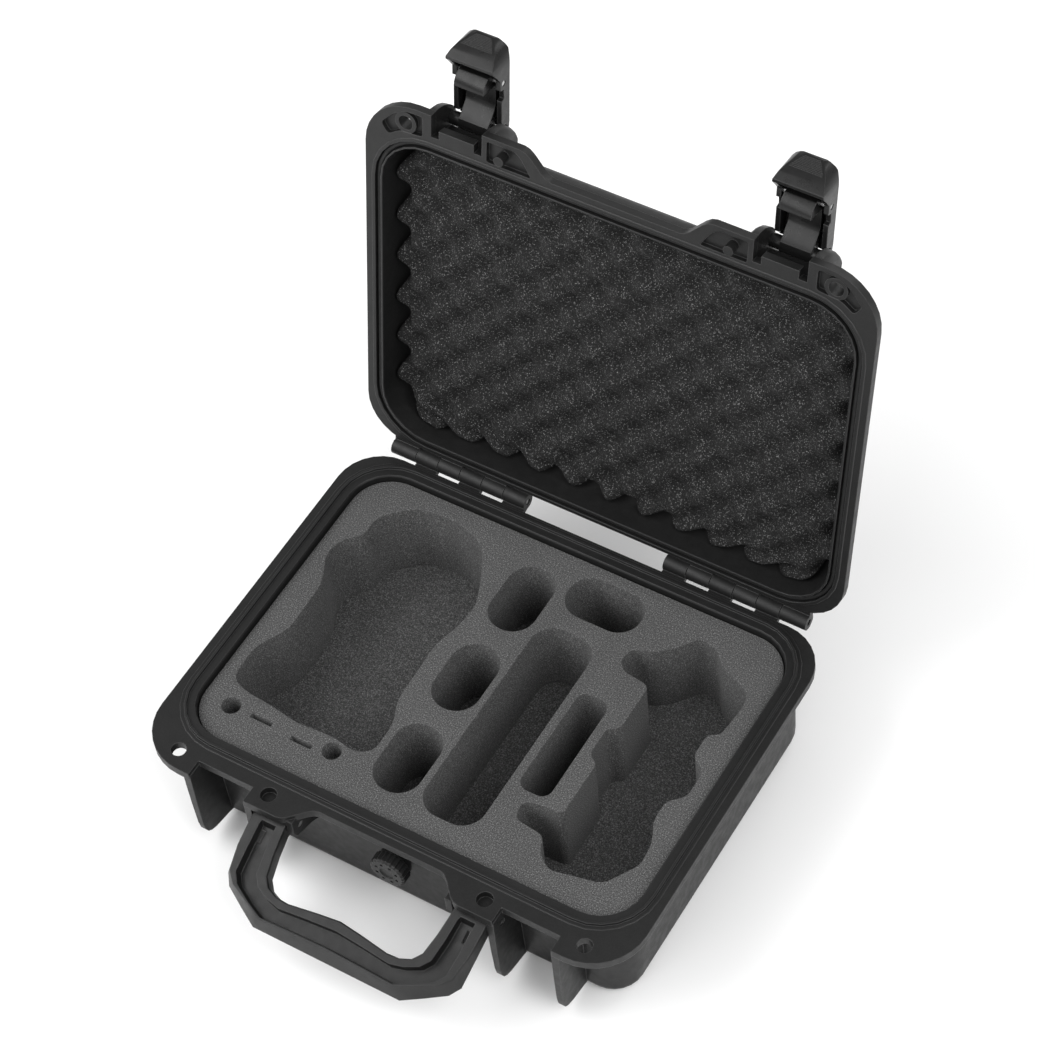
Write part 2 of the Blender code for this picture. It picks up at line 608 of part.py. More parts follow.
DRONE_POCKET = [(-96, 83), (-113, 67), (-112, 53), (-121, 46), (-124, 34), (-115, 16),
                (-114, -18), (-124, -36), (-123, -58), (-112, -62), (-96, -63), (-78, -66),
                (-56, -64), (-42, -67), (-33, -62), (-33, -42), (-39, -30), (-40, 12),
                (-36, 24), (-34, 42), (-42, 60), (-52, 78), (-72, 85)]
CONTROLLER_POCKET = [(52, -62), (50, -52), (58, -49), (72, -49), (72, -14), (66, -11),
                     (66, 7), (72, 10), (72, 40), (56, 42), (51, 47), (53, 57), (63, 59),
                     (73, 68), (81, 79), (92, 77), (99, 69), (119, 60), (121, 52),
                     (119, 31), (113, 28), (113, 13), (122, 7), (122, -10), (114, -17),
                     (114, -30), (120, -42), (121, -56), (110, -74), (82, -80), (73, -73),
                     (70, -64), (60, -63)]
BATTERY_POCKETS = [(-15, 57, 0), (-15, 0, 0), (-15, -57, 0), (26, 74, 90)]
BATTERY_HALF_WIDTH, BATTERY_HALF_LENGTH = 13.5, 22.0
HUB_POCKET = (20.0, -15.0, 17.5, 65.0, 13.0)
CABLE_POCKET = (51.5, -12.0, 9.0, 33.0, 6.0)
STICK_HOLES, STICK_HOLE_R = [(-114, -73), (-52, -72)], 5.3
SLITS = [(-95, -73), (-69, -75)]
SHALLOW = 14.0


def rect_at(cx, cy, half_x, half_y, radius):
    return [(cx + x, cy + y) for x, y in rounded_rect(half_x, half_y, radius, 4)]


def base_foam_insert():
    """Upper foam layer with a pocket cut through it for each thing carried."""
    insert = loft("base_foam_insert", [mouth_ring(-2.3, FOAM_SPLIT), mouth_ring(-0.7, FOAM_TOP)])
    deep = [softened(DRONE_POCKET, 6.0), softened(CONTROLLER_POCKET, 3.5, 2)]
    for x, y, turn in BATTERY_POCKETS:
        half = (BATTERY_HALF_WIDTH, BATTERY_HALF_LENGTH)
        half = half if turn == 0 else half[::-1]
        deep.append(rect_at(x, y, *half, BATTERY_HALF_WIDTH - 0.5))
    deep += [rect_at(*HUB_POCKET), rect_at(*CABLE_POCKET)]
    for outline in deep:
        cut(insert, prism_z("pocket", outline, FOAM_SPLIT - 4, FOAM_TOP + 4))
    for x, y in STICK_HOLES:
        cut(insert, rod_z("stick", FOAM_TOP - SHALLOW, FOAM_TOP + 4, x, y, STICK_HOLE_R))
    for x, y in SLITS:
        cut(insert, box("slit", x - 6.5, x + 6.5, y - 1.3, y + 1.3, FOAM_TOP - SHALLOW,
                        FOAM_TOP + 4))
    relief = 12.5
    cut(insert, box("relief", VALVE_X - relief, VALVE_X + relief, -100, -84,
                    VALVE_Z - relief, FOAM_TOP - 6))
    return finish(insert, FOAM)


def base_foam_pad():
    """Lower foam layer that closes the pockets."""
    rings = [mouth_ring(-6.6, FLOOR_Z + 0.4), mouth_ring(-4.0, -63.0),
             mouth_ring(-2.7, -60.0), mouth_ring(-2.5, FOAM_SPLIT - 0.3)]
    return finish(loft("base_foam_pad", rings), FOAM)


# ---------------------------------------------------------------- assembly

def pivot(name, y, z, parent=None, turn_deg=0.0):
    """An empty on an X axis at (y, z) of the case frame, turned about it."""
    empty = bpy.data.objects.new(name, None)
    bpy.context.scene.collection.objects.link(empty)
    place = Matrix.Translation(Vector((0.0, y, z)) * MM)
    turn = Matrix.Rotation(math.radians(turn_deg), 4, "X")
    if parent:
        empty.parent = parent
        place = Matrix.Translation((Vector((0.0, y, z)) - Vector(parent["at"])) * MM)
    empty.matrix_local = place @ turn
    empty["at"] = (0.0, y, z)
    return empty


def attach(obj, parent):
    """Hangs an object that was drawn in the case frame on a pivot, about the pivot's point."""
    at = Vector(parent["at"]) * MM
    obj.data.transform(Matrix.Translation(-at))
    obj.parent = parent
    return obj


def build_base(root):
    for piece in (base_shell(), base_foam_insert(), base_foam_pad(), valve_body(),
                  valve_o_ring(), valve_nut()):
        attach(piece, root)
    for side, word in ((1, "right"), (-1, "left")):
        x0, x1 = span(side, KNUCKLE_START + 0.8, 126.8)
        attach(finish(rod_x("hinge_pin_" + word, x0, x1, HINGE_Y, HINGE_Z, HINGE_PIN_R, 16),
                      STEEL), root)
        x0, x1 = span(side, LUG_IN + 0.3, 74.2)
        attach(finish(rod_x("handle_pin_" + word, x0, x1, HANDLE_PIVOT_Y, HANDLE_PIVOT_Z,
                            HANDLE_PIN_R, 16), STEEL), root)


def build_lid(root):
    lid = pivot("lid_pivot", HINGE_Y, HINGE_Z, root, -LID_OPEN_DEG)
    for piece in (lid_shell(), seal_gasket(), lid_foam()):
        attach(piece, lid)
    for side, word in ((1, "right"), (-1, "left")):
        pin_out = EAR_BORE_OUT - 0.4
        x0, x1 = span(side, LATCH_X - pin_out, LATCH_X + pin_out)
        attach(finish(rod_x("latch_pin_" + word, x0, x1, LATCH_PIVOT_Y, LATCH_PIVOT_Z,
                            LATCH_PIN_R, 16), STEEL), lid)
        latch = pivot("latch_pivot_" + word, LATCH_PIVOT_Y, LATCH_PIVOT_Z, lid,
                      -LATCH_OPEN_DEG)
        attach(latch_jaw("latch_jaw_" + word, side), latch)
        x0, x1 = span(side, LATCH_X - LEVER_HALF + 0.3, LATCH_X + LEVER_HALF - 0.3)
        attach(finish(rod_x("lever_pin_" + word, x0, x1, LEVER_PIVOT_Y, LEVER_PIVOT_Z,
                            LEVER_PIN_R, 16), STEEL), latch)
        lever = pivot("lever_pivot_" + word, LEVER_PIVOT_Y, LEVER_PIVOT_Z, latch)
        attach(latch_lever("latch_lever_" + word, side), lever)


def build_handle_and_knob(root):
    hang = pivot("handle_pivot", HANDLE_PIVOT_Y, HANDLE_PIVOT_Z, root, HANDLE_DROP_DEG)
    attach(handle(), hang)
    knob = valve_knob()
    at = Vector((VALVE_X, KNOB_BACK_Y, VALVE_Z)) * MM
    knob.data.transform(Matrix.Translation(-at))
    knob.location = at
    knob.parent = root


def settle(root):
    """Moves the whole case so that the middle of its bounding box's bottom is the origin."""
    bpy.context.view_layer.update()
    corners = [o.matrix_world @ v.co for o in bpy.data.objects if o.type == "MESH"
               for v in o.data.vertices]
    low = Vector([min(c[k] for c in corners) for k in range(3)])
    high = Vector([max(c[k] for c in corners) for k in range(3)])
    root.location = Vector((-(low.x + high.x) / 2, -(low.y + high.y) / 2, -low.z))


def main():
    for obj in list(bpy.data.objects):
        bpy.data.objects.remove(obj)
    root = pivot("case", 0.0, 0.0)
    build_base(root)
    build_lid(root)
    build_handle_and_knob(root)
    settle(root)


main()
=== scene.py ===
"""Looks for the drone carrying case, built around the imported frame."""

import math

import bmesh
import bpy
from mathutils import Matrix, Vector, noise


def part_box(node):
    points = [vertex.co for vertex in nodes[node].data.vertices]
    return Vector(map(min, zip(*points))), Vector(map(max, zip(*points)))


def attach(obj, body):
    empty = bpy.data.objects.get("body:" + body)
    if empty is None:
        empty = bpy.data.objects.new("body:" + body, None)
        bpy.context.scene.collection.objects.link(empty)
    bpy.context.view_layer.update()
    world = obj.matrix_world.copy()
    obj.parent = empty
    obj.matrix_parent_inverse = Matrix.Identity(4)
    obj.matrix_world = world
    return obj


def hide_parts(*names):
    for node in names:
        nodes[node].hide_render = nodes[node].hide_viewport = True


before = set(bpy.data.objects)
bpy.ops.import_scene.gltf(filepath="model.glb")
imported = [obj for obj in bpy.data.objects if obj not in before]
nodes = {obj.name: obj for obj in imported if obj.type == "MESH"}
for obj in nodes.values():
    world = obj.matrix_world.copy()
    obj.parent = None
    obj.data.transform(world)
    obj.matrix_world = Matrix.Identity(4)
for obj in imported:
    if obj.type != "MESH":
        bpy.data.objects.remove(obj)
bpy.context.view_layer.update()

MM = 0.001

# The case frame: its origin is the middle of the base's mouth on the sealing plane.
SHELL_LOW, SHELL_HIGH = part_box("base_shell")
FLANGE_FRONT_Y = -121.0
DEPTH = 70.0
SHIFT = Vector((0.0, SHELL_LOW[1] / MM - FLANGE_FRONT_Y, SHELL_LOW[2] / MM + DEPTH))

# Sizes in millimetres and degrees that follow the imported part
LIP_X, LIP_Y, LIP_R = 132.0, 95.0, 24.0
HINGE = (111.0, 1.26)
LID_OPEN = -100.4
LATCH_PIVOT = (-109.0, 20.0)
LATCH_OPEN = -88.0
LATCH_X = 91.0
CAD_SHARP, CAD_MERGE = 32, 2e-6
FOAM_TOP, FOAM_SPLIT, FLOOR_Z = -4.0, -54.0, -66.0


# ---------------------------------------------------------------- placing

def turn_x(point, centre, degrees):
    """A (x, y, z) point turned about an X axis through centre (y, z)."""
    a = math.radians(degrees)
    y, z = point[1] - centre[0], point[2] - centre[1]
    return (point[0], centre[0] + y * math.cos(a) - z * math.sin(a),
            centre[1] + y * math.sin(a) + z * math.cos(a))


def in_base(point):
    return (Vector(point) + SHIFT) * MM


def in_lid(point):
    """Closed-lid coordinates to the open rest pose."""
    return in_base(turn_x(point, HINGE, LID_OPEN))


def in_latch(point):
    return in_lid(turn_x(point, LATCH_PIVOT, LATCH_OPEN))


def new_piece(name, vertices, faces, place):
    """A mesh object from case-frame millimetres, with its face normals made consistent."""
    mesh = bpy.data.meshes.new(name)
    mesh.from_pydata([place(v) for v in vertices], [], faces)
    work = bmesh.new()
    work.from_mesh(mesh)
    bmesh.ops.recalc_face_normals(work, faces=work.faces)
    work.to_mesh(mesh)
    work.free()
    obj = bpy.data.objects.new(name, mesh)
    bpy.context.scene.collection.objects.link(obj)
    return obj


def shade(obj, degrees=35):
    """Smooth shading up to the given edge angle."""
    mesh = obj.data
    mesh.shade_smooth()
    mesh.set_sharp_from_angle(angle=math.radians(degrees))


def apply_modifiers(obj):
    graph = bpy.context.evaluated_depsgraph_get()
    mesh = bpy.data.meshes.new_from_object(obj.evaluated_get(graph))
    obj.modifiers.clear()
    obj.data = mesh


def arc(cx, cy, radius, start_deg, end_deg, steps):
    points = []
    for i in range(steps + 1):
        a = math.radians(start_deg + (end_deg - start_deg) * i / steps)
        points.append((cx + radius * math.cos(a), cy + radius * math.sin(a)))
    return points


def rounded_rect(half_x, half_y, radius, steps=16):
    cx, cy = half_x - radius, half_y - radius
    return (arc(cx, -cy, radius, -90, 0, steps) + arc(cx, cy, radius, 0, 90, steps)
            + arc(-cx, cy, radius, 90, 180, steps) + arc(-cx, -cy, radius, 180, 270, steps))


def mouth_ring(offset, z, steps=16):
    flat = rounded_rect(LIP_X + offset, LIP_Y + offset, LIP_R + offset, steps)
    return [(x, y, z) for x, y in flat]


def ring_faces(rings, closed):
    count = len(rings[0])
    faces = []
    for i in range(len(rings) if closed else len(rings) - 1):
        a, b = i * count, (i + 1) % len(rings) * count
        for k in range(count):
            n = (k + 1) % count
            faces.append((a + k, a + n, b + n, b + k))
    if not closed:
        last = (len(rings) - 1) * count
        faces.append(tuple(reversed(range(count))))
        faces.append(tuple(range(last, last + count)))
    return faces


def loft(name, rings, place, closed=False):
    return new_piece(name, [p for r in rings for p in r], ring_faces(rings, closed), place)


def softened(outline, radius, steps=5):
    """The outline with every corner rounded by a quadratic curve."""
    result = []
    count = len(outline)
    for i in range(count):
        here = Vector(outline[i])
        back, ahead = Vector(outline[i - 1]) - here, Vector(outline[(i + 1) % count]) - here
        reach = min(radius, back.length * 0.48, ahead.length * 0.48)
        a, b = here + back.normalized() * reach, here + ahead.normalized() * reach
        for k in range(steps + 1):
            t = k / steps
            point = a * (1 - t) ** 2 + here * 2 * t * (1 - t) + b * t * t
            result.append((point.x, point.y))
    return result


# ---------------------------------------------------------------- materials

class Shader:
    """A Principled material and short ways to add nodes to it."""

    def __init__(self, name, **sockets):
        self.material = bpy.data.materials.new(name)
        self.material.use_nodes = True
        self.tree = self.material.node_tree
        self.bsdf = self.tree.nodes["Principled BSDF"]
        for key, value in sockets.items():
            self.bsdf.inputs[key.replace("_", " ")].default_value = value
        self.coords = self.tree.nodes.new("ShaderNodeTexCoord").outputs["Object"]

    def link(self, a, b):
        self.tree.links.new(a, b)

    def node(self, kind, **values):
        made = self.tree.nodes.new(kind)
        for key, value in values.items():
            setattr(made, key, value)
        return made

    def noise(self, scale, detail=2.0, roughness=0.5):
        made = self.node("ShaderNodeTexNoise")
        made.inputs["Scale"].default_value = scale
        made.inputs["Detail"].default_value = detail
        made.inputs["Roughness"].default_value = roughness
        self.link(self.coords, made.inputs["Vector"])
        return made.outputs["Fac"]

    def cells(self, scale, output="Distance", randomness=1.0):
        made = self.node("ShaderNodeTexVoronoi")
        made.inputs["Scale"].default_value = scale
        made.inputs["Randomness"].default_value = randomness
        self.link(self.coords, made.inputs["Vector"])
        return made.outputs[output]

    def remap(self, value, from_low, from_high, to_low, to_high):
        made = self.node("ShaderNodeMapRange")
        for key, number in zip(("From Min", "From Max", "To Min", "To Max"),
                               (from_low, from_high, to_low, to_high)):
            made.inputs[key].default_value = number
        self.link(value, made.inputs["Value"])
        return made.outputs["Result"]

    def maths(self, operation, a, b):
        made = self.node("ShaderNodeMath", operation=operation)
        for socket, value in zip(made.inputs, (a, b)):
            if isinstance(value, (int, float)):
                socket.default_value = value
            else:
                self.link(value, socket)
        return made.outputs[0]

    def mix(self, factor, dark, light):
        made = self.node("ShaderNodeMix", data_type="RGBA")
        self.link(factor, made.inputs["Factor"])
        for socket, value in ((made.inputs["A"], dark), (made.inputs["B"], light)):
            if isinstance(value, tuple):
                socket.default_value = (*value, 1.0)
            else:
                self.link(value, socket)
        return made.outputs["Result"]

    def colour(self, value):
        self.link(value, self.bsdf.inputs["Base Color"])

    def roughness(self, value):
        self.link(value, self.bsdf.inputs["Roughness"])

    def rounded(self, radius):
        """The normal with edges rounded by radius, in metres."""
        made = self.node("ShaderNodeBevel", samples=6)
        made.inputs["Radius"].default_value = radius
        return made.outputs["Normal"]

    def edge_mask(self, rounded_normal):
        """How far the rounded normal leans from the true one: 0 on flats, 1 on edges."""
        true = self.node("ShaderNodeNewGeometry").outputs["Normal"]
        dot = self.node("ShaderNodeVectorMath", operation="DOT_PRODUCT")
        self.link(rounded_normal, dot.inputs[0])
        self.link(true, dot.inputs[1])
        return self.remap(dot.outputs["Value"], 1.0, 0.80, 0.0, 1.0)

    def bump(self, height, distance, strength=1.0, normal=None):
        made = self.node("ShaderNodeBump")
        made.inputs["Strength"].default_value = strength
        made.inputs["Distance"].default_value = distance
        self.link(height, made.inputs["Height"])
        if normal is not None:
            self.link(normal, made.inputs["Normal"])
        return made.outputs["Normal"]

    def normal(self, value):
        self.link(value, self.bsdf.inputs["Normal"])


def grey(value, warm=0.0):
    return (value * (1 + warm), value, value * (1 - warm))


def plastic(name, base, roughness, edge_radius=0.0006, grain=1.0):
    """Moulded plastic: fine spark-eroded texture, faint mottling, and glossier edges whose colour
    is lightened as a painted highlight.
    """
    s = Shader(name, Roughness=roughness, Specular_IOR_Level=0.28)
    round_normal = s.rounded(edge_radius)
    edges = s.edge_mask(round_normal)
    mottle = s.noise(38.0, 4.0, 0.6)
    fine = s.noise(1500.0, 3.0, 0.65)
    body = s.mix(s.remap(mottle, 0.3, 0.7, 0.0, 1.0), grey(base * 0.86), grey(base * 1.14))
    speck = s.mix(s.remap(fine, 0.42, 0.66, 0.0, 0.5), body, grey(base * 1.9))
    # Painted highlight: the rounded edges are painted lighter, towards grey 0.06.
    s.colour(s.mix(s.maths("MULTIPLY", edges, 0.8), speck, grey(0.06)))
    uneven = s.remap(s.noise(220.0, 3.0), 0.3, 0.7, roughness - 0.05, roughness + 0.07)
    s.roughness(s.maths("SUBTRACT", uneven, s.maths("MULTIPLY", edges, 0.16)))
    s.normal(s.bump(fine, 0.00006 * grain, 0.55, round_normal))
    return s.material


def closed_cell_foam(name, base):
    """Dense foam: matt, with a fine light and dark speckle and tiny cut cells."""
    s = Shader(name, Roughness=0.95, Specular_IOR_Level=0.2, Sheen_Weight=0.06,
               Sheen_Roughness=0.5)
    round_normal = s.rounded(0.0007)
    edges = s.edge_mask(round_normal)
    cloud = s.noise(26.0, 3.0, 0.55)
    grain = s.noise(1500.0, 2.0, 0.75)
    cells = s.cells(1700.0)
    body = s.mix(s.remap(cloud, 0.3, 0.7, 0.0, 1.0), grey(base * 0.92), grey(base * 1.08))
    speck = s.mix(s.remap(grain, 0.36, 0.58, 0.0, 1.0), grey(base * 0.40), body)
    light = s.mix(s.remap(grain, 0.55, 0.70, 0.0, 1.0), speck, grey(base * 2.6))
    # Painted highlight: the rounded edges are painted lighter, towards 1.7 times the base.
    s.colour(s.mix(s.maths("MULTIPLY", edges, 0.30), light, grey(base * 1.7)))
    s.normal(s.bump(cells, 0.00022, 0.7, s.bump(grain, 0.00018, 0.6, round_normal)))
    return s.material


def open_cell_foam(name, base):
    """Coarse open foam: dark pores between cell walls, with glints painted on random cells here and
    there.
    """
    s = Shader(name, Roughness=0.8, Specular_IOR_Level=0.35)
    pores = s.cells(1900.0)
    pick = s.cells(1900.0, "Color")
    coarse = s.noise(1300.0, 2.0, 0.8)
    clump = s.noise(120.0, 2.0, 0.6)
    split = s.node("ShaderNodeSeparateColor")
    s.link(pick, split.inputs["Color"])
    # Painted glints: a few random cells are picked to be painted bright.
    glint = s.remap(split.outputs["Red"], 0.62, 1.0, 0.0, 1.0)
    bright = s.maths("POWER", glint, 2.2)
    centre = s.remap(pores, 0.62, 0.15, 0.0, 1.0)
    shine = s.maths("MULTIPLY", bright, centre)
    body = s.mix(s.remap(coarse, 0.44, 0.66, 0.0, 1.0), grey(base * 0.08), grey(base * 2.3))
    patch = s.mix(s.remap(clump, 0.35, 0.65, 0.0, 0.5), body, grey(base * 0.5))
    # Painted glints: the picked cells are painted near-white (34 times the base) in the colour,
    # with lower roughness there.
    s.colour(s.mix(shine, patch, grey(base * 34.0)))
    s.roughness(s.remap(shine, 0.0, 1.0, 0.85, 0.4))
    s.normal(s.bump(pores, 0.0005, 0.9, s.bump(coarse, 0.0006, 0.8)))
    return s.material


def rubber(name, base):
    s = Shader(name, Roughness=0.7, Specular_IOR_Level=0.4)
    fine = s.noise(900.0, 3.0)
    s.colour(s.mix(s.remap(fine, 0.35, 0.65, 0.0, 1.0), grey(base * 0.8), grey(base * 1.25)))
    s.roughness(s.remap(s.noise(160.0), 0.3, 0.7, 0.62, 0.8))
    s.normal(s.bump(fine, 0.00004, 0.5))
    return s.material


def steel(name):
    """Ground pin stock, brushed round its axis."""
    s = Shader(name, Metallic=1.0, Roughness=0.3)
    stretch = s.node("ShaderNodeMapping")
    stretch.inputs["Scale"].default_value = (6000.0, 250.0, 250.0)
    s.link(s.coords, stretch.inputs["Vector"])
    lines = s.node("ShaderNodeTexNoise")
    lines.inputs["Scale"].default_value = 1.0
    s.link(stretch.outputs["Vector"], lines.inputs["Vector"])
    s.colour(s.mix(s.remap(lines.outputs["Fac"], 0.3, 0.7, 0.0, 1.0), grey(0.36), grey(0.58)))
    s.roughness(s.remap(lines.outputs["Fac"], 0.3, 0.7, 0.24, 0.42))
    s.normal(s.bump(lines.outputs["Fac"], 0.00002, 0.4))
    return s.material


def soften_facets(obj):
    """Shades a carried-over node's round stretches smooth, while its flat faces stay flat."""
    obj.data.shade_smooth()
    weld = obj.modifiers.new("weld", "WELD")
    weld.merge_threshold = CAD_MERGE
    split = obj.modifiers.new("split", "EDGE_SPLIT")
    split.split_angle = math.radians(CAD_SHARP)
    obj.modifiers.new("weighted_normals", "WEIGHTED_NORMAL")


def dress(obj, material):
    obj.data.materials.clear()
    obj.data.materials.append(material)
    return obj


def add(obj, body, slot, *replaced):
    """Registers a piece with its body and hides the nodes it stands for; slot is not used."""
    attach(obj, body)
    if replaced:
        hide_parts(*replaced)
    return obj


# ---------------------------------------------------------------- foam

DRONE_POCKET = [(-96, 83), (-113, 67), (-112, 53), (-121, 46), (-124, 34), (-115, 16),
                (-114, -18), (-124, -36), (-123, -58), (-112, -62), (-96, -63), (-78, -66),
                (-56, -64), (-42, -67), (-33, -62), (-33, -42), (-39, -30), (-40, 12),
                (-36, 24), (-34, 42), (-42, 60), (-52, 78), (-72, 85)]
CONTROLLER_POCKET = [(52, -62), (50, -52), (58, -49), (72, -49), (72, -14), (66, -11),
                     (66, 7), (72, 10), (72, 40), (56, 42), (51, 47), (53, 57), (63, 59),
                     (73, 68), (81, 79), (92, 77), (99, 69), (119, 60), (121, 52),
                     (119, 31), (113, 28), (113, 13), (122, 7), (122, -10), (114, -17),
                     (114, -30), (120, -42), (121, -56), (110, -74), (82, -80), (73, -73),
                     (70, -64), (60, -63)]
BATTERY_POCKETS = [(-15, 57, 0), (-15, 0, 0), (-15, -57, 0), (26, 74, 90)]
BATTERY_HALF_WIDTH, BATTERY_HALF_LENGTH = 13.5, 22.0
HUB_POCKET = (20.0, -15.0, 17.5, 65.0, 13.0)
CABLE_POCKET = (51.5, -12.0, 9.0, 33.0, 6.0)
STICK_HOLES, STICK_HOLE_R = [(-114, -73), (-52, -72)], 5.3
SLITS, SLIT_HALF_X, SLIT_HALF_Y = [(-95, -73), (-69, -75)], 6.5, 1.4
SHALLOW = 14.0
CUT_PAST = 4.0
DRONE_CORNER_R, CONTROLLER_CORNER_R = 7.0, 4.0
VALVE_RELIEF, RELIEF_LOW_Z, RELIEF_ROOF = (3.0, -92.0, 12.5, 8.0), -38.5, 6.0
FOAM_EDGE, EDGE_SEGMENTS, EDGE_ANGLE = 0.0009, 3, 48

# (inset from the mouth, z) of each layer's rings, from the bottom up
INSERT_RINGS = [(2.3, FOAM_SPLIT), (0.8, FOAM_TOP)]
PAD_RINGS = [(6.8, FLOOR_Z + 0.5), (4.2, -63.0), (2.9, -60.0), (2.7, FOAM_SPLIT - 0.4)]


def rect_at(cx, cy, half_x, half_y, radius):
    return [(cx + x, cy + y) for x, y in rounded_rect(half_x, half_y, radius, 10)]


def square_at(cx, cy, half_x, half_y):
    return [(cx + sx * half_x, cy + sy * half_y) for sx, sy in ((-1, -1), (1, -1), (1, 1), (-1, 1))]


def cutter(outline, z0, z1):
    rings = [[(x, y, z0) for x, y in outline], [(x, y, z1) for x, y in outline]]
    return loft("cutter", rings, in_base)


def carve(obj, tool):
    modifier = obj.modifiers.new("cut", "BOOLEAN")
    modifier.solver = "EXACT"
    modifier.operation = "DIFFERENCE"
    modifier.object = tool
    apply_modifiers(obj)
    bpy.data.objects.remove(tool)


def round_edges(obj, width):
    """Bevels every sharp edge by width and keeps the flat faces flat."""
    bevel = obj.modifiers.new("bevel", "BEVEL")
    bevel.width = width
    bevel.segments = EDGE_SEGMENTS
    bevel.limit_method = "ANGLE"
    bevel.angle_limit = math.radians(EDGE_ANGLE)
    apply_modifiers(obj)
    shade(obj, 30)


def deep_pockets():
    """Outlines of the cut-outs that go right through the insert."""
    outlines = [softened(DRONE_POCKET, DRONE_CORNER_R),
                softened(CONTROLLER_POCKET, CONTROLLER_CORNER_R)]
    for x, y, turn in BATTERY_POCKETS:
        half = (BATTERY_HALF_WIDTH, BATTERY_HALF_LENGTH)
        half = half if turn == 0 else half[::-1]
        outlines.append(rect_at(x, y, *half, BATTERY_HALF_WIDTH - 0.5))
    return outlines + [rect_at(*HUB_POCKET), rect_at(*CABLE_POCKET)]


def foam_insert(material):
    insert = loft("foam_insert", [mouth_ring(-inset, z) for inset, z in INSERT_RINGS], in_base)
    for outline in deep_pockets():
        carve(insert, cutter(outline, FOAM_SPLIT - CUT_PAST, FOAM_TOP + CUT_PAST))
    shallow = [arc(x, y, STICK_HOLE_R, 0, 345, 23) for x, y in STICK_HOLES]
    shallow += [square_at(x, y, SLIT_HALF_X, SLIT_HALF_Y) for x, y in SLITS]
    for outline in shallow:
        carve(insert, cutter(outline, FOAM_TOP - SHALLOW, FOAM_TOP + CUT_PAST))
    # The valve's nut sits in a hollow behind the front wall.
    carve(insert, cutter(square_at(*VALVE_RELIEF), RELIEF_LOW_Z, FOAM_TOP - RELIEF_ROOF))
    round_edges(insert, FOAM_EDGE)
    dress(insert, material)
    add(insert, "base", "base_foam", "base_foam_insert")


def foam_pad(material):
    pad = loft("foam_pad", [mouth_ring(-inset, z) for inset, z in PAD_RINGS], in_base)
    round_edges(pad, FOAM_EDGE)
    dress(pad, material)
    add(pad, "base", "base_foam", "base_foam_pad")


CRATE_BACK, CRATE_PEAK, CRATE_VALLEY = 24.8, 9.5, 18.0
CRATE_COLUMNS, CRATE_ROWS, CRATE_FINE = 20, 14, 5
CRATE_OVER, CRATE_CORNER_OVER = 0.6, 1.0
CRATE_ROUND = 0.85
RIM_FROM_X, RIM_FROM_Y = 0.93, 0.91
RIM_DRAW, RIM_DROP = 4.5, 1.2
GRIT_SCALE, GRIT_HEIGHT = 0.9, 0.45
SWELL_SCALE, SWELL_HEIGHT = 0.045, 0.8
DEEPEST = CRATE_VALLEY + 1.6
BACK_DRAW_X, BACK_DRAW_Y = 0.062, 0.086


def crate_height(i, j):
    """Height of the convoluted face: round-topped bumps in a staggered field."""
    bump = 2 * CRATE_FINE
    wave = math.cos(math.pi * i / bump) * math.cos(math.pi * j / bump)
    lifted = (0.5 + 0.5 * wave) ** CRATE_ROUND
    return CRATE_VALLEY + (CRATE_PEAK - CRATE_VALLEY) * lifted


def crate_point(i, j, columns, rows):
    """A point of the convoluted face. Rim bumps bulge and rim valleys draw in, as cut foam does."""
    half_x, half_y, corner = LIP_X + CRATE_OVER, LIP_Y + CRATE_OVER, LIP_R + CRATE_CORNER_OVER
    u, v = 2 * i / columns - 1, 2 * j / rows - 1
    y = v * half_y
    over = max(0.0, abs(y) - (half_y - corner))
    x = u * (half_x - corner + math.sqrt(max(0.0, corner ** 2 - over ** 2)))
    z = crate_height(i, j)
    draw = (z - CRATE_PEAK) / (CRATE_VALLEY - CRATE_PEAK)
    rim_x = max(0.0, abs(u) - RIM_FROM_X) / (1 - RIM_FROM_X)
    rim_y = max(0.0, abs(v) - RIM_FROM_Y) / (1 - RIM_FROM_Y)
    x -= math.copysign(rim_x * draw * RIM_DRAW, u)
    y -= math.copysign(rim_y * draw * RIM_DRAW, v)
    z += RIM_DROP * max(rim_x, rim_y) ** 2
    z += noise.noise(Vector((x * GRIT_SCALE, y * GRIT_SCALE, 0.0))) * GRIT_HEIGHT
    z += noise.noise(Vector((x * SWELL_SCALE, y * SWELL_SCALE, 7.0))) * SWELL_HEIGHT
    return x, y, min(DEEPEST, z)


def crate_foam(material):
    columns, rows = CRATE_COLUMNS * 2 * CRATE_FINE, CRATE_ROWS * 2 * CRATE_FINE
    vertices = [crate_point(i, j, columns, rows)
                for j in range(rows + 1) for i in range(columns + 1)]
    faces = []
    width = columns + 1
    for j in range(rows):
        for i in range(columns):
            a = j * width + i
            faces.append((a, a + width, a + width + 1, a + 1))
    rim = list(range(width)) + [j * width + columns for j in range(1, rows + 1)]
    rim += [rows * width + i for i in range(columns - 1, -1, -1)]
    rim += [j * width for j in range(rows - 1, 0, -1)]
    previous = rim
    for t in (0.5, 1.0):
        first = len(vertices)
        for index in rim:
            x, y, z = vertices[index]
            vertices.append((x * (1 - BACK_DRAW_X * t * t), y * (1 - BACK_DRAW_Y * t * t),
                             z + (CRATE_BACK - z) * t))
        ring = list(range(first, first + len(rim)))
        for k, a in enumerate(previous):
            n = (k + 1) % len(rim)
            faces.append((a, previous[n], ring[n], ring[k]))
        previous = ring
    faces.append(tuple(previous))
    foam = new_piece("crate_foam", vertices, faces, in_lid)
    foam.data.shade_smooth()
    dress(foam, material)
    add(foam, "lid", "crate_foam", "lid_foam")


# ---------------------------------------------------------------- seal and latches

SEAL_INNER, SEAL_OUTER, SEAL_LOW, SEAL_SHOULDER, SEAL_HIGH = 4.2, 7.0, 1.75, 2.8, 3.7


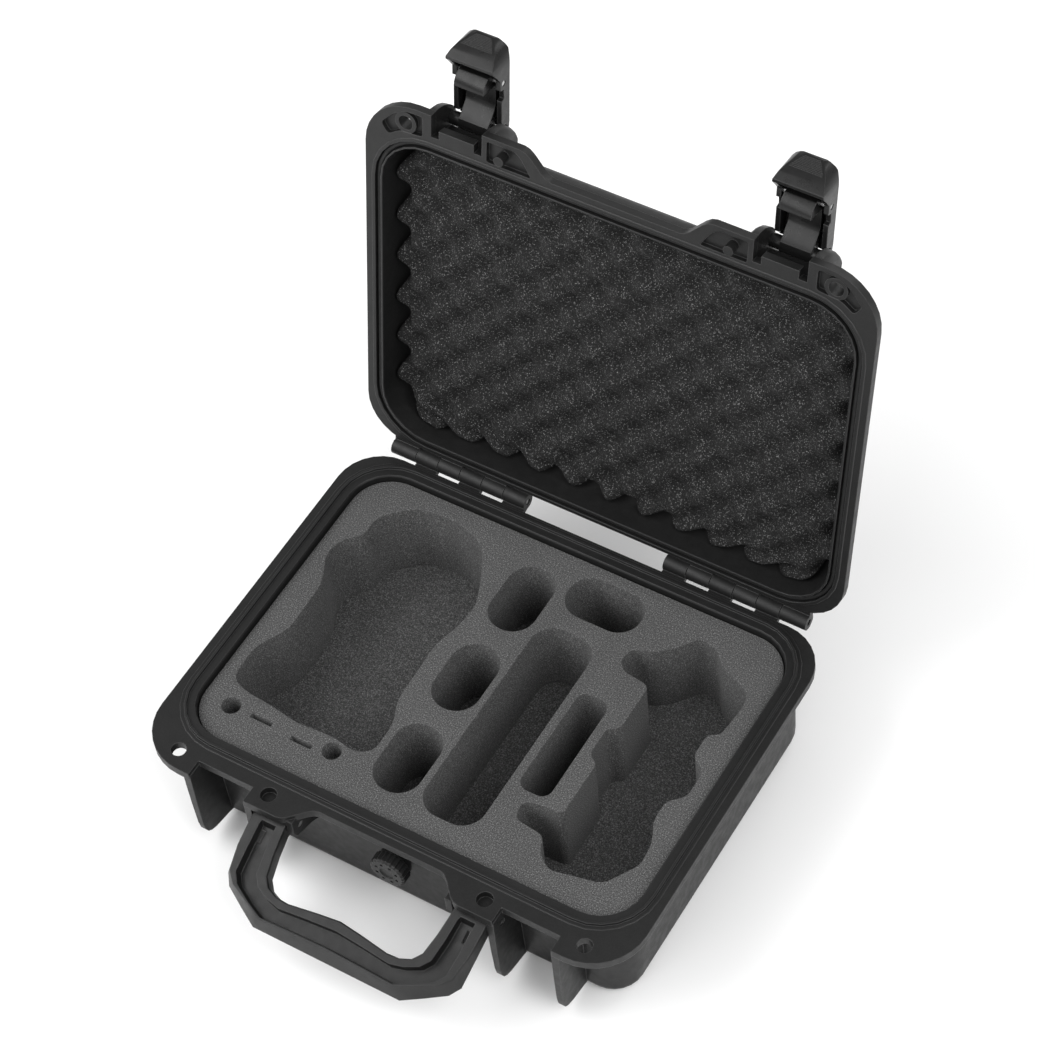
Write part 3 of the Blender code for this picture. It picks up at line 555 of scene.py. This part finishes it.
def seal(material):
    """A rubber cord with a half-round lip, seated in the lid's groove."""
    middle, half = (SEAL_INNER + SEAL_OUTER) / 2, (SEAL_OUTER - SEAL_INNER) / 2
    rings = [mouth_ring(middle + x * half, SEAL_SHOULDER + y * (SEAL_SHOULDER - SEAL_LOW))
             for x, y in arc(0, 0, 1, 180, 360, 8)]
    rings += [mouth_ring(SEAL_OUTER, SEAL_HIGH), mouth_ring(SEAL_INNER, SEAL_HIGH)]
    cord = loft("seal_cord", rings, in_lid, closed=True)
    shade(cord, 50)
    dress(cord, material)
    add(cord, "lid", "seal_rubber", "seal_gasket")


FINGER_FACE = [(-117.6, -31.0), (-112.5, -29.2), (-106.5, -26.0), (-102.4, -22.6)]
LEVER_HALF, LEVER_LOW_Z, LEVER_TIP_R = 14.0, -31.3, 12.0
RIBS, RIB_START, RIB_PITCH, RIB_HALF, RIB_HEIGHT = 10, 1.1, 0.82, 0.30, 0.20
RIB_ROOT, RIB_END_GAP = 0.3, 1.6


def along_finger_face(distance):
    """The (y, z) point and outward normal on the finger block's face, from its outer edge."""
    for start, end in zip(FINGER_FACE, FINGER_FACE[1:]):
        run = Vector(end) - Vector(start)
        if distance <= run.length or end == FINGER_FACE[-1]:
            way = run.normalized()
            return Vector(start) + way * distance, way, Vector((way.y, -way.x))
        distance -= run.length


def grip_ribs(side, material):
    """Fine raised lines across the finger end of a latch lever."""
    word = "right" if side > 0 else "left"
    vertices, faces = [], []
    for k in range(RIBS):
        point, way, normal = along_finger_face(RIB_START + RIB_PITCH * k)
        rise = max(0.0, LEVER_TIP_R - (point.y - LEVER_LOW_Z))
        corner = LEVER_TIP_R - math.sqrt(LEVER_TIP_R ** 2 - rise ** 2)
        half = LEVER_HALF - corner - RIB_END_GAP
        section = [point - way * RIB_HALF - normal * RIB_ROOT, point - way * RIB_HALF,
                   point + normal * RIB_HEIGHT, point + way * RIB_HALF,
                   point + way * RIB_HALF - normal * RIB_ROOT]
        start, n = len(vertices), len(section)
        for x in (-half, half):
            vertices += [(side * LATCH_X + x, q.x, q.y) for q in section]
        for i in range(n):
            m = (i + 1) % n
            faces.append((start + i, start + m, start + n + m, start + n + i))
        faces.append(tuple(range(start + n - 1, start - 1, -1)))
        faces.append(tuple(range(start + n, start + 2 * n)))
    ribs = new_piece("grip_ribs_" + word, vertices, faces, in_latch)
    shade(ribs)
    dress(ribs, material)
    add(ribs, "lever_" + word, "latch_plastic")


# ---------------------------------------------------------------- stage

FLOOR_REACH = 6.0
WORLD_STRENGTH = 0.58
AIM = (0.0, 0.0, 0.12)
# name: place, (width, height), watts
LIGHTS = {"left_softbox": ((-1.3, -0.9, 1.6), (1.6, 1.6), 33.0),
          "right_softbox": ((1.4, -0.4, 1.7), (1.3, 1.7), 26.0),
          "front_softbox": ((-0.2, -1.8, 1.3), (1.6, 1.2), 13.0),
          "back_strip": ((0.3, 1.9, 1.2), (1.6, 0.35), 9.0)}
CAMERA_PLACE, CAMERA_TURN, CAMERA_LENS = (583.0, -758.8, 1374.9), (37.5, 4.011, 30.857), 112.06


def stage():
    s = Shader("floor_paint", Roughness=0.85, Specular_IOR_Level=0.2)
    s.colour(s.mix(s.remap(s.noise(3.0, 3.0), 0.3, 0.7, 0.0, 1.0), grey(0.90), grey(0.92)))
    floor = bpy.data.objects.new("floor", bpy.data.meshes.new("floor"))
    corners = square_at(0.0, 0.0, FLOOR_REACH, FLOOR_REACH)
    floor.data.from_pydata([(x, y, 0.0) for x, y in corners], [], [(0, 1, 2, 3)])
    bpy.context.scene.collection.objects.link(floor)
    dress(floor, s.material)


def area_light(name, place, size, power):
    light = bpy.data.lights.new(name, "AREA")
    light.shape = "RECTANGLE"
    light.size, light.size_y = size
    light.energy = power
    obj = bpy.data.objects.new(name, light)
    bpy.context.scene.collection.objects.link(obj)
    obj.location = place
    way = Vector(AIM) - Vector(place)
    obj.rotation_euler = way.to_track_quat("-Z", "Y").to_euler()


def lights():
    world = bpy.data.worlds.new("studio")
    bpy.context.scene.world = world
    world.use_nodes = True
    background = world.node_tree.nodes["Background"]
    background.inputs["Color"].default_value = (1.0, 1.0, 1.0, 1.0)
    background.inputs["Strength"].default_value = WORLD_STRENGTH
    for name, (place, size, power) in LIGHTS.items():
        area_light(name, place, size, power)
    bpy.context.scene.view_settings.view_transform = "Standard"


def camera():
    data = bpy.data.cameras.new("camera")
    data.sensor_width = 36.0
    data.lens = CAMERA_LENS
    data.clip_end = 20.0
    obj = bpy.data.objects.new("camera", data)
    bpy.context.scene.collection.objects.link(obj)
    obj.location = in_base(CAMERA_PLACE)
    obj.rotation_euler = [math.radians(a) for a in CAMERA_TURN]
    bpy.context.scene.camera = obj


# ---------------------------------------------------------------- build

camera()
stage()
lights()

shell_skin = plastic("shell_plastic", 0.0085, 0.44)
handle_skin = plastic("handle_plastic", 0.0075, 0.38, 0.0009)
latch_skin = plastic("latch_plastic", 0.0065, 0.30, 0.0007, 0.6)
valve_skin = plastic("valve_plastic", 0.0085, 0.36, 0.0004)
insert_skin = closed_cell_foam("insert_foam", 0.086)
crate_skin = open_cell_foam("convoluted_foam", 0.0098)
rubber_skin = rubber("seal_rubber", 0.007)
pin_skin = steel("pin_steel")

LOOKS = {"base_shell": shell_skin, "lid_shell": shell_skin, "handle": handle_skin,
         "valve_body": valve_skin, "valve_knob": valve_skin, "valve_nut": valve_skin,
         "valve_o_ring": rubber_skin, "seal_gasket": rubber_skin,
         "base_foam_insert": insert_skin, "base_foam_pad": insert_skin,
         "lid_foam": crate_skin}
for node_name, node_object in nodes.items():
    if "_pin_" in node_name:
        look = pin_skin
    elif node_name.startswith("latch_"):
        look = latch_skin
    else:
        look = LOOKS[node_name]
    soften_facets(node_object)
    dress(node_object, look)

foam_insert(insert_skin)
foam_pad(insert_skin)
crate_foam(crate_skin)
seal(rubber_skin)
for side in (1, -1):
    grip_ribs(side, latch_skin)
